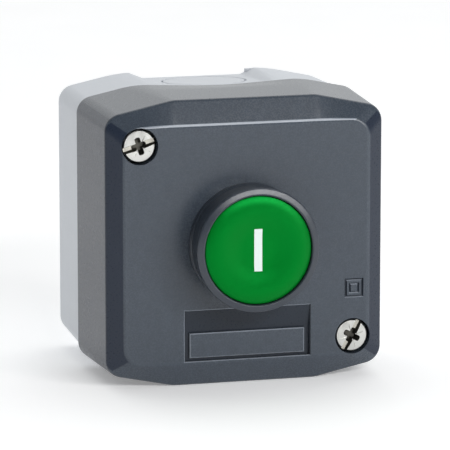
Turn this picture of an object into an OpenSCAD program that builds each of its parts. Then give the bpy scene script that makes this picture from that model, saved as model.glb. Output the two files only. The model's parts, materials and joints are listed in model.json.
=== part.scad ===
// A one-way push-button control station. A two-part plastic enclosure fixes to a
// wall, its cover carries a flush 22 mm push button, and a one-pole, normally open
// contact block clips to its base behind the button.
//
// X is to the right, Z is up and the wall is the plane Y = 0. The origin is where
// the button's axis meets the wall. A depth "d" is a distance in front of the wall,
// so the plane at depth d is Y = -d.

/* [Enclosure] */
// Width of the enclosure where the cover meets the base
case_w = 68; // [67.5:0.5:70]
// Height of the enclosure across its flat top and bottom
case_h = 67; // [66.5:0.5:69]
// Depth of the joint between base and cover
joint_d = 24.9; // [24.5:0.1:25.5]
// Depth of the cover's outer front edge
shoulder_d = 49.2; // [49:0.1:49.4]
// Depth of the flat front panel
panel_d = 52; // [51.8:0.1:52.3]
// Width of the flat front panel
panel_w = 59.1; // [58.6:0.1:59.6]
// Height of the flat front panel
panel_h = 56; // [55.5:0.1:56.5]

/* [Cover screws] */
// Distance of each cover screw from the button's axis, across
screw_x = 25.4; // [25.2:0.1:25.6]
// Distance of each cover screw from the button's axis, up or down
screw_z = 23.5; // [23.3:0.1:23.7]
// Diameter of a cover screw's head
screw_head_dia = 7.6; // [7.2:0.1:7.8]
// Diameter of a cover screw's shank
screw_shank_dia = 4; // [3.5:0.1:4]

/* [Wall fixing] */
// Distance of each wall screw hole from the button's axis, across and up or down
fixing_offset = 24; // [23:0.5:24.5]
// Diameter of each wall screw hole
fixing_dia = 4.3; // [4:0.1:4.5]
// Diameter of the cable entry knock-outs, for an M20 gland
knockout_dia = 20.4; // [20:0.1:20.6]

/* [Push button] */
// Depth of the front of the button's bezel
head_d = 62; // [61.8:0.1:62.3]
// Diameter of the bezel
bezel_dia = 29; // [28.6:0.1:29.4]
// Diameter of the button's cap
cap_dia = 25.2; // [25:0.1:25.4]
// Diameter of the threaded barrel behind the panel
barrel_dia = 22; // [21.8:0.1:22.1]
// Full travel of the button
press_travel = 4.3; // [3.8:0.1:4.3]

/* [Contact block] */
// Width of the contact block
block_w = 13; // [12.6:0.1:13.2]
// Height of the contact block
block_h = 41; // [40:0.5:42]
// Depth of the contact block's front
block_d = 31.5; // [31.4:0.1:31.6]
// Travel of the contact bridge until it closes the circuit
closing_travel = 2.6; // [2.3:0.1:2.6]

/* [Hidden] */

light_grey = [0.77, 0.79, 0.80];
dark_grey = [0.33, 0.36, 0.40];
black = [0.10, 0.10, 0.11];
button_green = [0.0, 0.52, 0.18];
white = [0.95, 0.97, 0.95];
plated_steel = [0.78, 0.78, 0.75];
brass_yellow = [0.80, 0.65, 0.30];
silver = [0.90, 0.90, 0.88];
rubber_black = [0.07, 0.07, 0.07];

$fn = 64;
cut = 0.5;          // how far a cutter runs past the face that it opens
gap = 0.1;          // free gap between two pieces that lie side by side
slip = 0.05;        // radial clearance of a shaft in its hole

// Enclosure outline: flat top, shoulders that fall towards the sides, round corners
shoulder_fall = 12;                     // degrees
corner_steps = 8;
top_half = 18.5;                        // half the flat length of top and bottom
cover_half = [case_w / 2, case_h / 2];  // half width and half height at the joint
cover_draft = [1, 0.05];                // how far the cover's sides and its top lean in
base_step = 0.5;                        // how far the base stands inside the cover
base_draft = 0.8;                       // how far the base's sides lean in

rim_t = 1.8;        // cover wall round the base's tongue
wall_t = 3.4;       // wall from the joint's outline to the inside
floor_t = 2.5;      // rear wall
panel_t = 2.6;      // front panel
tongue_d = joint_d + 3.1;
gasket_t = 1.4;
ledge_d = tongue_d + gasket_t;
inside = cover_half - [wall_t, wall_t];

// Relief along the base's top and bottom, between its raised shoulders
relief_half = 12.3;
relief_run = 2.2;                       // run of its sloping sides for each mm of rise
relief_back_z = case_h / 2 - 2.6;
relief_front_z = case_h / 2 - 0.95;
relief_tilt = atan((relief_front_z - relief_back_z) / joint_d);

// Screws and their bosses
screw_places = [[-screw_x, screw_z, 17], [screw_x, -screw_z, 61]];  // x, z, slot angle
counterbore_r = 4.15;
counterbore_d = panel_d - 4.4;
screw_top_d = panel_d - 0.7;
seal_t = 0.9;
screw_tip_d = 12;
boss_r = 4.6;
boss_meet_d = joint_d + 1.2;
fixing_places = [[fixing_offset, fixing_offset], [-fixing_offset, -fixing_offset]];

// Push button stack
hole_r = barrel_dia / 2 + 0.15;
panel_back_d = panel_d - panel_t;
pocket_r = cap_dia / 2 + 0.15;
pocket_d = head_d - 7.6;
bore_r = 9;
stem_r = 5.5;
spring_seat_d = head_d - 19;
barrel_end_d = head_d - 22.5;
cap_back_d = head_d - 2;
disc_back_d = cap_back_d - 1;
guide_back_d = head_d - 11.5;
spring_top_d = head_d - 5.5;
pusher_d = block_d + 5.1;
nut_t = 5.4;
mark_size = [1.95, 9.9];

// Contact block stack, from its back to its front
block_back_d = 5;
block_side_t = 1.2;
chamber_half_x = block_w / 2 - 1.5;
chamber_half_z = 9;
tower_half_z = 10.6;
step_d = block_d - 4.5;
carrier_top_d = pusher_d - gap;
carrier_half = [3.9, 3];
carrier_back_d = 12.5;
window_back_d = 19.15;
window_front_d = 27;
strip_t = 0.8;
strip_half_x = 2.4;
bridge_d = 19.2;
bridge_t = 0.8;
tip_r = 1.5;
tip_t = 0.8;
tip_z = 5.6;
fixed_tip_d = bridge_d - tip_t - closing_travel;
strip_d = fixed_tip_d - tip_t - strip_t;
terminal_d = 20.2;
terminal_z = 15.5;
clamp_d = terminal_d + strip_t + 0.9;
clamp_t = 1;

// ---------- shared shapes ----------

// A flat shape in X and Z, from depth d0 to depth d1
module slab(d0, d1)
    translate([0, -d0, 0]) rotate([90, 0, 0]) linear_extrude(d1 - d0) children();

// A shape turned about the button's axis, from points of radius and depth
module turned(points)
    rotate([90, 0, 0]) rotate_extrude() polygon(points);

// A round bar along the depth, at x and z, from depth d0 to depth d1
module bar(x, z, r, d0, d1)
    translate([x, -d0, z]) rotate([90, 0, 0]) cylinder(r = r, h = d1 - d0);

// A box from depth d0 to depth d1, given by its half width and its lowest and highest z
module block(half_x, z0, z1, d0, d1)
    translate([-half_x, -d1, z0]) cube([2 * half_x, d1 - d0, z1 - z0]);

// A side profile of depth and height points, from x0 to x1
module side_profile(x0, x1, points)
    translate([x0, 0, 0]) rotate([90, 0, 90]) linear_extrude(x1 - x0)
        polygon([for (p = points) [-p[0], p[1]]]);

function reversed(p) = [for (i = [len(p) - 1 : -1 : 0]) p[i]];
function scaled(p, sx, sz) = [for (q = p) [q[0] * sx, q[1] * sz]];

// One quarter of the outline: the round corner, then the end of the flat top
function quarter(half, r) =
    let (corner_z = half[1] - (half[0] - top_half) * tan(shoulder_fall),
         turn = 90 - shoulder_fall,
         run = r * tan(turn / 2))
    concat([for (i = [0 : corner_steps])
                let (a = turn * i / corner_steps)
                [half[0] - r + r * cos(a), corner_z - run + r * sin(a)]],
           [[top_half, half[1]]]);

// The enclosure's outline, from its half width and half height and its corner radius
module outline(half, r) {
    q = quarter(half, r);
    polygon(concat(q, reversed(scaled(q, -1, 1)), scaled(q, -1, -1), reversed(scaled(q, 1, -1))));
}

// The outline drawn in from the joint's outline by an inset
module inset_outline(inset)
    outline(cover_half - [inset, inset], max(4.5 - inset, 1.5));

// A rectangle with round corners
module round_rect(w, h, r) {
    square([w - 2 * r, h], center = true);
    square([w, h - 2 * r], center = true);
    for (x = [-1, 1], z = [-1, 1])
        translate([x * (w / 2 - r), z * (h / 2 - r)]) circle(r);
}

// A compression spring about the line at x = z = 0, closed at both ends
module coil(r, wire, turns, d0, d1) {
    sides = 6;
    steps = 16;
    closed = 0.9;
    length = d1 - d0 - 2 * wire;
    rings = turns * steps;
    function rise(u) =
        u < closed ? 2 * wire * u :
        u > turns - closed ? length - 2 * wire * (turns - u) :
        2 * wire * closed
            + (length - 4 * wire * closed) * (u - closed) / (turns - 2 * closed);
    points = [for (i = [0 : rings], j = [0 : sides - 1])
        let (a = 360 * i / steps,
             b = 360 * j / sides,
             out = r + wire * cos(b))
        [out * cos(a), out * sin(a), d0 + wire + rise(i / steps) + wire * sin(b)]];
    walls = [for (i = [0 : rings - 1], j = [0 : sides - 1])
        let (k = (j + 1) % sides)
        [i * sides + j, (i + 1) * sides + j, (i + 1) * sides + k, i * sides + k]];
    first = [for (j = [0 : sides - 1]) j];
    last = [for (j = [sides - 1 : -1 : 0]) rings * sides + j];
    rotate([90, 0, 0]) polyhedron(points, concat([first], walls, [last]));
}

// ---------- enclosure base ----------

module base_outside()
    hull() {
        slab(0, 0.01) outline(cover_half - [base_step + base_draft, 1], 4);
        slab(joint_d - 0.01, joint_d) outline(cover_half - [base_step, base_step], 4);
    }

// The sunk strip between the raised shoulders, with sloping sides
module base_relief() {
    rise = 3;
    top = relief_half + relief_run * rise;
    module strip(z)
        polygon([[-relief_half, z], [relief_half, z], [top, z + rise], [-top, z + rise]]);
    hull() {
        slab(-cut, 0) strip(relief_back_z);
        slab(joint_d, joint_d + cut) strip(relief_front_z);
    }
}

// Ring groove that lets the cable entry's disc break out
module knockout_groove()
    translate([0, -joint_d / 2, (relief_back_z + relief_front_z) / 2])
        rotate([-relief_tilt, 0, 0])
            difference() {
                translate([0, 0, -0.45]) cylinder(d = knockout_dia, h = 2);
                translate([0, 0, -1]) cylinder(d = knockout_dia - 1, h = 4);
            }

// Shallow pockets that leave a border and a cross bearing on the wall
module back_pockets()
    for (x = [-1, 1], z = [-1, 1])
        if (x * z < 0)
            translate([x * 16.5, 0, z * 15.5]) slab(-cut, 0.8) round_rect(25, 23, 3);
        else
            translate([x * 11.5, 0, z * 11.5]) slab(-cut, 0.8) round_rect(15, 15, 3);

// Arms that snap over the contact block's sides, and the ribs it stands on
module block_clips() {
    for (x = [-1, 1]) {
        arm_x = block_w / 2 + gap;
        translate([x * (arm_x + 0.7), 0, 0]) block(0.7, -3, 3, floor_t - 0.2, 11);
        translate([x * (arm_x - 0.15), 0, 0]) block(0.3, -3, 3, 9, 10.4);
    }
    for (z = [-12, 12])
        block(9, z - 1, z + 1, floor_t - 0.2, block_back_d);
}

module rear_box()
    color(light_grey) difference() {
        union() {
            difference() {
                base_outside();
                slab(floor_t, joint_d + cut) outline(inside, 1.5);
                for (z = [0, 1]) mirror([0, 0, z]) {
                    base_relief();
                    knockout_groove();
                }
                back_pockets();
            }
            // Tongue that stands inside the cover's rim
            slab(joint_d - 0.6, tongue_d) difference() {
                inset_outline(rim_t + gap);
                outline(inside, 1.5);
            }
            for (p = screw_places) {
                bar(p[0], p[1], 4.4, floor_t - 0.2, boss_meet_d - gap);
                translate([p[0] + sign(p[0]) * 3.4, 0, p[1]])
                    block(2.2, -0.8, 0.8, floor_t - 0.2, joint_d);
            }
            for (p = fixing_places)
                bar(p[0], p[1], 5, floor_t - 0.2, 4);
            block_clips();
        }
        for (p = screw_places)
            bar(p[0], p[1], screw_shank_dia / 2 + slip, screw_tip_d - 2, joint_d + 5);
        for (p = fixing_places)
            bar(p[0], p[1], fixing_dia / 2, -cut, 5);
    }

// ---------- contact block ----------

// Side view of the block: a tower over the contacts and a step at each terminal
block_profile = [
    [block_back_d, -block_h / 2], [step_d, -block_h / 2], [step_d, -tower_half_z],
    [block_d, -tower_half_z], [block_d, tower_half_z], [step_d, tower_half_z],
    [step_d, block_h / 2], [block_back_d, block_h / 2]];

// Notch that the base's arms snap into
module clip_notches()
    for (x = [-1, 1])
        translate([x * block_w / 2, 0, 0]) block(0.5, -3.3, 3.3, 8.6, 11.4);

module block_housing()
    color(black) difference() {
        side_profile(-block_w / 2, block_w / 2 - block_side_t, block_profile);
        // Chamber for the carrier, the bridge and the contacts
        translate([0.5, 0, 0])
            block(chamber_half_x + 0.5, -chamber_half_z, chamber_half_z, block_back_d + 1.5, block_d - 1.5);
        // Front opening for the carrier
        block(carrier_half[0] - 0.8, -carrier_half[1] - gap, carrier_half[1] + gap, block_d - 2, block_d + cut);
        for (z = [0, 1]) mirror([0, 0, z]) {
            // Slot for the fixed contact's strip
            block(strip_half_x + gap, chamber_half_z - cut, tower_half_z + 0.1,
                strip_d - gap, terminal_d + strip_t + gap);
            // Terminal chamber, open where the wire comes in
            block(4, tower_half_z - 0.1, block_h / 2 + cut, terminal_d - gap, step_d - 1.4);
            bar(0, terminal_z, 3.4, step_d - 2, step_d + cut);
            bar(0, terminal_z, 2, 11, terminal_d);
        }
        clip_notches();
    }

module block_side_cover()
    color(black) difference() {
        side_profile(block_w / 2 - block_side_t, block_w / 2, block_profile);
        clip_notches();
    }

// Upper fixed contact: a strip bent from the contact up to the terminal
module fixed_contact()
    difference() {
        side_profile(-strip_half_x, strip_half_x, [
            [strip_d, carrier_half[1] + 0.7], [strip_d, tower_half_z - gap],
            [terminal_d, tower_half_z - gap], [terminal_d, block_h / 2 - 1],
            [terminal_d + strip_t, block_h / 2 - 1], [terminal_d + strip_t, tower_half_z - gap - strip_t],
            [strip_d + strip_t, tower_half_z - gap - strip_t], [strip_d + strip_t, carrier_half[1] + 0.7]]);
        bar(0, terminal_z, 1.8, terminal_d - cut, terminal_d + 2);
    }

module upper_fixed_contact()
    color(brass_yellow) fixed_contact();

module lower_fixed_contact()
    color(brass_yellow) mirror([0, 0, 1]) fixed_contact();

module fixed_contact_tips()
    color(silver)
        for (z = [-tip_z, tip_z])
            bar(0, z, tip_r, fixed_tip_d - tip_t, fixed_tip_d);

module terminal_screws()
    color(plated_steel)
        for (z = [-terminal_z, terminal_z])
            difference() {
                union() {
                    bar(0, z, 3, clamp_d + clamp_t, clamp_d + clamp_t + 2);
                    bar(0, z, 1.75, 13, clamp_d + clamp_t + 0.5);
                }
                translate([0, 0, z]) block(0.45, -4, 4, clamp_d + clamp_t + 1, clamp_d + clamp_t + 3);
                translate([0, 0, z]) block(2, -0.45, 0.45, clamp_d + clamp_t + 1, clamp_d + clamp_t + 3);
            }

// Saddle washers that press the wire on to the terminal
module terminal_clamps()
    color(plated_steel)
        for (z = [0, 1]) mirror([0, 0, z])
            difference() {
                union() {
                    block(3.5, terminal_z - 3.5, terminal_z + 3.5, clamp_d, clamp_d + clamp_t);
                    for (x = [-3.1, 3.1])
                        translate([x, 0, 0])
                            block(0.4, terminal_z - 3.5, terminal_z + 3.5, clamp_d - 0.6, clamp_d + 0.1);
                }
                bar(0, terminal_z, 1.85, clamp_d - cut, clamp_d + clamp_t + cut);
            }

module block_return_spring()
    color(plated_steel) coil(1.8, 0.28, 6, block_back_d + 1.5, carrier_back_d + 3.5);

// Coloured plunger of the block, with a window that carries the bridge
module contact_carrier()
    color(button_green) difference() {
        union() {
            block(carrier_half[0] - 0.9, -carrier_half[1], carrier_half[1], window_front_d, carrier_top_d);
            block(carrier_half[0], -carrier_half[1], carrier_half[1], carrier_back_d, block_d - 1.55);
        }
        block(2.3, -carrier_half[1] - cut, carrier_half[1] + cut, window_back_d, window_front_d);
        bar(0, 0, 2.3, carrier_back_d - cut, carrier_back_d + 3.5);
    }

module contact_spring()
    color(plated_steel) coil(1.5, 0.22, 5, bridge_d + bridge_t, window_front_d);

module contact_bridge()
    color(brass_yellow) difference() {
        slab(bridge_d, bridge_d + bridge_t) round_rect(4, 2 * tip_z + 3.8, 1.2);
        bar(0, 0, 0.6, bridge_d - cut, bridge_d + 2);
    }

module bridge_contact_tips()
    color(silver)
        for (z = [-tip_z, tip_z])
            bar(0, z, tip_r, bridge_d - tip_t, bridge_d);

// ---------- enclosure cover ----------

module panel_outline()
    round_rect(panel_w, panel_h, 4.5);

module cover_outside() {
    shoulder_half = cover_half - cover_draft;
    hull() {
        slab(joint_d, joint_d + 0.01) outline(cover_half, 4);
        slab(shoulder_d - 0.01, shoulder_d) outline(shoulder_half, 4.2);
    }
    hull() {
        slab(shoulder_d - 0.01, shoulder_d) outline(shoulder_half, 4.2);
        slab(panel_d - 0.01, panel_d) panel_outline();
    }
}

module cover_cavity() {
    slab(joint_d - cut, ledge_d) inset_outline(rim_t);
    slab(ledge_d - 0.1, shoulder_d - 0.8) outline(inside, 1.5);
    slab(shoulder_d - 1, panel_back_d) round_rect(panel_w - 5, panel_h - 4, 3);
}

// Columns that carry the screws through the cover, each webbed to the wall
module cover_bosses()
    for (p = screw_places) {
        bar(p[0], p[1], boss_r, boss_meet_d, panel_back_d + 0.2);
        bar(p[0], p[1], 5.3, counterbore_d - 2, panel_back_d + 0.2);
        translate([p[0] + sign(p[0]) * 3.6, 0, p[1]])
            block(2.4, -0.8, 0.8, ledge_d + 1, panel_back_d);
    }

// Field under the button: a sloping recess round a raised plain plate
module label_field() {
    field_z = [-panel_h / 2 + 0.4, -15.4];
    plate_z = [-26.6, -21.1];
    difference() {
        side_profile(-15, 15, [
            [panel_d + cut, field_z[0]], [panel_d - 1.1, field_z[0]], [panel_d - 1.1, plate_z[1]],
            [panel_d - 0.25, field_z[1]], [panel_d + cut, field_z[1]]]);
        block(13.75, plate_z[0], plate_z[1], panel_d - 2, panel_d - 0.3);
    }
}

// Two square grooves, one inside the other: the general sign for double insulation
module double_square()
    translate([25.5, 0, -12.7])
        slab(panel_d - 0.3, panel_d + cut)
            for (side = [4, 2])
                difference() {
                    square(side, center = true);
                    square(side - 0.8, center = true);
                }

// Shallow hollow along the middle of the cover's rear edge
module edge_hollow()
    hull() {
        slab(joint_d - cut, joint_d)
            polygon([[-6, case_h / 2 - 0.85], [6, case_h / 2 - 0.85], [18, case_h / 2 + 0.1], [-18, case_h / 2 + 0.1]]);
        slab(joint_d + 10, joint_d + 10.1)
            translate([0, case_h / 2 + 0.1]) square([36, 0.1], center = true);
    }

module front_cover()
    color(dark_grey) difference() {
        union() {
            difference() {
                cover_outside();
                cover_cavity();
            }
            cover_bosses();
        }
        bar(0, 0, hole_r, panel_back_d - cut, panel_d + cut);
        block(1.6, 0, hole_r + 1.1, panel_back_d - cut, panel_d + cut);
        for (p = screw_places) {
            bar(p[0], p[1], counterbore_r, counterbore_d, panel_d + cut);
            bar(p[0], p[1], screw_shank_dia / 2 + 0.25, joint_d, panel_d);
        }
        label_field();
        double_square();
        for (z = [0, 1]) mirror([0, 0, z]) edge_hollow();
    }

module cover_gasket()
    color(rubber_black) slab(tongue_d, ledge_d) difference() {
        inset_outline(rim_t + gap);
        inset_outline(wall_t);
    }

// A combined slotted and cross-recessed screw, pointing at the wall
module cover_screw(x, z, angle) {
    head_back_d = counterbore_d + seal_t;
    r = screw_head_dia / 2;
    translate([x, 0, z]) rotate([0, -angle, 0]) difference() {
        turned([[0, screw_tip_d], [screw_shank_dia / 4, screw_tip_d],
            [screw_shank_dia / 2, screw_tip_d + 2], [screw_shank_dia / 2, head_back_d],
            [r, head_back_d], [r, screw_top_d - 0.8], [r - 0.3, screw_top_d - 0.35],
            [r - 1.2, screw_top_d - 0.08], [0, screw_top_d]]);
        block(r + cut, -0.6, 0.6, screw_top_d - 1, screw_top_d + cut);
        for (side = [0, 90])
            rotate([0, side, 0]) block(2.2, -0.6, 0.6, screw_top_d - 1.8, screw_top_d + cut);
    }
}

module cover_screws()
    color(plated_steel)
        for (p = screw_places)
            cover_screw(p[0], p[1], p[2]);

module cover_screw_seals()
    color(rubber_black)
        for (p = screw_places)
            difference() {
                bar(p[0], p[1], screw_head_dia / 2, counterbore_d, counterbore_d + seal_t);
                bar(p[0], p[1], screw_shank_dia / 2 + slip, counterbore_d - cut, counterbore_d + 2);
            }

// ---------- push button ----------

// Bezel in front of the panel and barrel behind it, turned as one piece
module button_bezel() {
    r = bezel_dia / 2;
    flange_r = r - 1;
    color(dark_grey) union() {
        turned([
            [hole_r - 0.15, barrel_end_d], [hole_r - 0.15, panel_d + 1],
            [hole_r + 1.5, panel_d + 1], [hole_r + 1.5, panel_d],
            [flange_r, panel_d], [flange_r, head_d - 4.4], [flange_r + 0.25, head_d - 3.2],
            [r - 0.3, head_d - 2.1], [r, head_d - 1.6], [r, head_d - 1],
            [r - 0.35, head_d - 0.5], [pocket_r + 0.25, head_d], [pocket_r, head_d - 0.2],
            [pocket_r, pocket_d], [bore_r, pocket_d], [bore_r, spring_seat_d],
            [stem_r + slip, spring_seat_d], [stem_r + slip, barrel_end_d]]);
        // Key that stops the head from turning in the panel
        block(1.5, barrel_dia / 2 - 0.3, hole_r + 0.95, panel_back_d, panel_d);
    }
}

module bezel_gasket()
    color(rubber_black) turned([
        [hole_r + 0.05, panel_d], [hole_r + 1.4, panel_d],
        [hole_r + 1.4, panel_d + 1], [hole_r + 0.05, panel_d + 1]]);

module fixing_nut() {
    nut_r = 15.4;
    lobes = 12;
    color(light_grey) difference() {
        bar(0, 0, nut_r, panel_back_d - nut_t, panel_back_d);
        bar(0, 0, barrel_dia / 2 + 0.03, panel_back_d - nut_t - cut, panel_back_d + cut);
        for (i = [0 : lobes - 1])
            rotate([0, 360 * (i + 0.5) / lobes, 0])
                bar(nut_r + 0.4, 0, 1.5, panel_back_d - nut_t - cut, panel_back_d - 1.2);
    }
}

module button_return_spring()
    color(plated_steel) coil(6.75, 0.4, 6, spring_seat_d, spring_top_d);

// Depth of the cap's face at a radius: a dish inside a rounded rim
rim_r = cap_dia / 2 - 0.05;
crest_r = 9.8;
dish_depth = 1;
rim_drop = 0.75;
function face_d(r) =
    r < crest_r ? head_d - dish_depth * pow(cos(90 * r / crest_r), 2) :
    head_d - rim_drop * pow((r - crest_r) / (rim_r - crest_r), 2);

// The cap's solid shape before the mark is let in
module cap_blank() {
    face_steps = 14;
    turned(concat(
        [for (i = [0 : face_steps]) let (r = rim_r * i / face_steps) [r, face_d(r)]],
        [[rim_r, cap_back_d - 0.8], [rim_r - 0.45, cap_back_d - 0.8], [rim_r - 0.45, cap_back_d],
         [3.5, cap_back_d], [3.5, cap_back_d - 4], [0, cap_back_d - 4]]));
}

// The space that the mark fills, from behind the face to in front of it
module mark_space()
    slab(cap_back_d + 0.3, head_d + cut) square(mark_size, center = true);

module button_cap()
    color(button_green) difference() {
        cap_blank();
        mark_space();
    }

// The upright bar that means on
module cap_mark()
    color(white) intersection() {
        cap_blank();
        mark_space();
    }

module button_plunger()
    color(black) difference() {
        union() {
            turned([
                [0, pusher_d], [4.5, pusher_d], [4.5, barrel_end_d - 1.3],
                [stem_r, barrel_end_d - 1.3], [stem_r, spring_top_d],
                [7.9, spring_top_d], [7.9, guide_back_d], [bore_r - slip - 0.02, guide_back_d],
                [bore_r - slip - 0.02, pocket_d - 2.5], [8.2, pocket_d - 2.5],
                [8.2, pocket_d - 1.1], [bore_r - slip - 0.02, pocket_d - 1.1],
                [bore_r - slip - 0.02, disc_back_d], [rim_r - 0.55, disc_back_d],
                [rim_r - 0.55, cap_back_d], [0, cap_back_d]]);
            // Lugs that turn behind the barrel and keep the plunger in
            for (x = [-6, 6])
                translate([x, 0, 0]) block(0.9, -1.5, 1.5, barrel_end_d - 1.3, barrel_end_d - 0.05);
        }
        bar(0, 0, 3.55, cap_back_d - 4.1, cap_back_d + cut);
    }

module plunger_seal()
    color(rubber_black) turned([
        [8.25, pocket_d - 2.4], [8.7, pocket_d - 2.4], [bore_r - slip, pocket_d - 2.0],
        [bore_r - slip, pocket_d - 1.6], [8.7, pocket_d - 1.2], [8.25, pocket_d - 1.2]]);

// ---------- nodes ----------

rear_box();
block_housing();
block_side_cover();
upper_fixed_contact();
lower_fixed_contact();
fixed_contact_tips();
terminal_screws();
terminal_clamps();
block_return_spring();
front_cover();
cover_gasket();
cover_screws();
cover_screw_seals();
button_bezel();
bezel_gasket();
fixing_nut();
button_return_spring();
button_cap();
cap_mark();
button_plunger();
plunger_seal();
contact_carrier();
contact_spring();
contact_bridge();
bridge_contact_tips();
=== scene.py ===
"""A one-way push-button control station: light grey base, dark grey cover, flush green button."""
import json
import math

import bmesh
import bpy
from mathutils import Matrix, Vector


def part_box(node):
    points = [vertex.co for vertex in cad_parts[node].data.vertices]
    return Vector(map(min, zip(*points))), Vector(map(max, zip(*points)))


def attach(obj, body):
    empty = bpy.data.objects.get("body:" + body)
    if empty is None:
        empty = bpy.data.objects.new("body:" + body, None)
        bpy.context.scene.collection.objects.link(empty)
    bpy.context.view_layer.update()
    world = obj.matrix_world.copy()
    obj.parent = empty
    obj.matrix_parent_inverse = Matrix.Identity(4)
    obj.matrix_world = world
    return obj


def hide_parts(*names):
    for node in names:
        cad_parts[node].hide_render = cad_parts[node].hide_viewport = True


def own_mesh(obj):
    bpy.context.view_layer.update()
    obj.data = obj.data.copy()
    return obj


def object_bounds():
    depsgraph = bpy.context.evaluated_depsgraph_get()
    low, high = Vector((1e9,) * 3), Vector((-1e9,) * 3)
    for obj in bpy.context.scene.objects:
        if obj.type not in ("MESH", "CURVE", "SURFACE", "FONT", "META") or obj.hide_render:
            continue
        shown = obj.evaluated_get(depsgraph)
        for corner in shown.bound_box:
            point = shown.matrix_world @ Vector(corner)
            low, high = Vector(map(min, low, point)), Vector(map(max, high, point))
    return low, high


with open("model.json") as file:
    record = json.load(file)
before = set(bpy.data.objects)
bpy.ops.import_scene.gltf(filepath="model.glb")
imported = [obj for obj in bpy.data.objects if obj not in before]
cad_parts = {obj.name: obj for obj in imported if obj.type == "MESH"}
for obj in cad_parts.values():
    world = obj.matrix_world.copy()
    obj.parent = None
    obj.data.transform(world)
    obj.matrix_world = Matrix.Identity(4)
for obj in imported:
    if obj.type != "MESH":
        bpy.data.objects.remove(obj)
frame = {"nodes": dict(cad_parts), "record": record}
cad_low, cad_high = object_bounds()

# ---------------------------------------------------------------------------
# Sizes. Lengths below are in millimetres, and a depth is a distance in front
# of the wall, so depth d is at y = -d. Outer sizes come from the CAD nodes' boxes.
# ---------------------------------------------------------------------------

MM = 0.001


def cad_box(node):
    """Lowest and highest (x, depth, z) of a CAD node, in millimetres."""
    low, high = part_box(node)
    return (Vector((low.x, -high.y, low.z)) / MM, Vector((high.x, -low.y, high.z)) / MM)


COVER_LOW, COVER_HIGH = cad_box("front_cover")
HALF_W, HALF_H = COVER_HIGH.x, COVER_HIGH.z
JOINT_D, PANEL_D = COVER_LOW.y, COVER_HIGH.y
SHOULDER_D = PANEL_D - 2.8
HEAD_D = cad_box("button_bezel")[1].y
BEZEL_R = cad_box("button_bezel")[1].x
BARREL_END_D = cad_box("button_bezel")[0].y
CAP_R = cad_box("button_cap")[1].x
MARK_LOW, MARK_HIGH = cad_box("cap_mark")
TONGUE_D = cad_box("rear_box")[1].y
LEDGE_D = cad_box("cover_gasket")[1].y
PANEL_BACK_D = cad_box("fixing_nut")[1].y
BLOCK_HALF = cad_box("block_side_cover")[1].x
SCREW_HIGH = cad_box("cover_screws")[1]
SCREW_R = 3.8
SCREW_X = SCREW_HIGH.x - SCREW_R
SCREW_Z = SCREW_HIGH.z - SCREW_R
SCREWS = [(-SCREW_X, SCREW_Z), (SCREW_X, -SCREW_Z)]
SLOT_TURNS = [17, 61]               # degrees, one for each screw

PANEL_HALF = (29.1, 27.65)
PANEL_CORNER = 4.5
COVER_FRONT_HALF = (HALF_W - 1.0, HALF_H - 0.05)
SHOULDER_FALL = math.radians(12)    # slope of the outline's shoulders
CORNER_R = 4.2                      # of the cover's front outline
RIM_T = 1.8                         # wall of the cover round the base's tongue
WALL_T = 3.4
FLOOR_T = 2.5
INSIDE = (HALF_W - WALL_T, HALF_H - WALL_T)
INSIDE_CORNER = 1.5                 # corner radii of the inside and of the cover's rim
RIM_CORNER = 2.7


# ---------------------------------------------------------------------------
# Mesh helpers
# ---------------------------------------------------------------------------

def place(x, depth, z):
    return Vector((x * MM, -depth * MM, z * MM))


def new_object(name, verts, faces, smooth=True):
    """A mesh object from (x, depth, z) points, with its faces turned outwards."""
    mesh = bpy.data.meshes.new(name)
    mesh.from_pydata([place(*v) for v in verts], [], faces)
    bm = bmesh.new()
    bm.from_mesh(mesh)
    bmesh.ops.remove_doubles(bm, verts=bm.verts, dist=1e-7)
    bmesh.ops.recalc_face_normals(bm, faces=bm.faces)
    bm.to_mesh(mesh)
    bm.free()
    for polygon in mesh.polygons:
        polygon.use_smooth = smooth
    obj = bpy.data.objects.new(name, mesh)
    bpy.context.scene.collection.objects.link(obj)
    return obj


def loft(name, rings, close_loop=False):
    """Skins rings of equal length, each a list of (x, depth, z).

    The ends are capped, or with close_loop the last ring is joined to the first.
    """
    count = len(rings[0])
    verts = [v for ring in rings for v in ring]
    faces = []
    pairs = len(rings) if close_loop else len(rings) - 1
    for i in range(pairs):
        a, b = i * count, ((i + 1) % len(rings)) * count
        for j in range(count):
            k = (j + 1) % count
            faces.append((a + j, a + k, b + k, b + j))
    if not close_loop:
        faces.append(tuple(range(count)))
        faces.append(tuple(range((len(rings) - 1) * count, len(rings) * count)))
    return new_object(name, verts, faces)


def lathe(name, profile, centre=(0, 0), steps=96):
    """Turns (radius, depth) points about a line along the depth.

    A profile that starts and ends on the line makes a solid, any other makes a ring.
    """
    on_axis = profile[0][0] < 1e-6 and profile[-1][0] < 1e-6
    rings = []
    for radius, depth in profile:
        radius = max(radius, 1e-4)
        rings.append([(centre[0] + radius * math.cos(a), depth, centre[1] + radius * math.sin(a))
                      for a in (2 * math.pi * j / steps for j in range(steps))])
    return loft(name, rings, close_loop=not on_axis)


def prism(name, outline, d0, d1):
    return loft(name, [[(x, d0, z) for x, z in outline], [(x, d1, z) for x, z in outline]])


def bar(name, x, z, radius, d0, d1, steps=64):
    return lathe(name, [(0, d0), (radius, d0), (radius, d1), (0, d1)], (x, z), steps)


def slab(name, x0, x1, z0, z1, d0, d1):
    return prism(name, [(x0, z0), (x1, z0), (x1, z1), (x0, z1)], d0, d1)


def side_prism(name, x0, x1, outline):
    """A side profile of (depth, z) points, from x0 to x1."""
    return loft(name, [[(x0, d, z) for d, z in outline], [(x1, d, z) for d, z in outline]])


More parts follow.
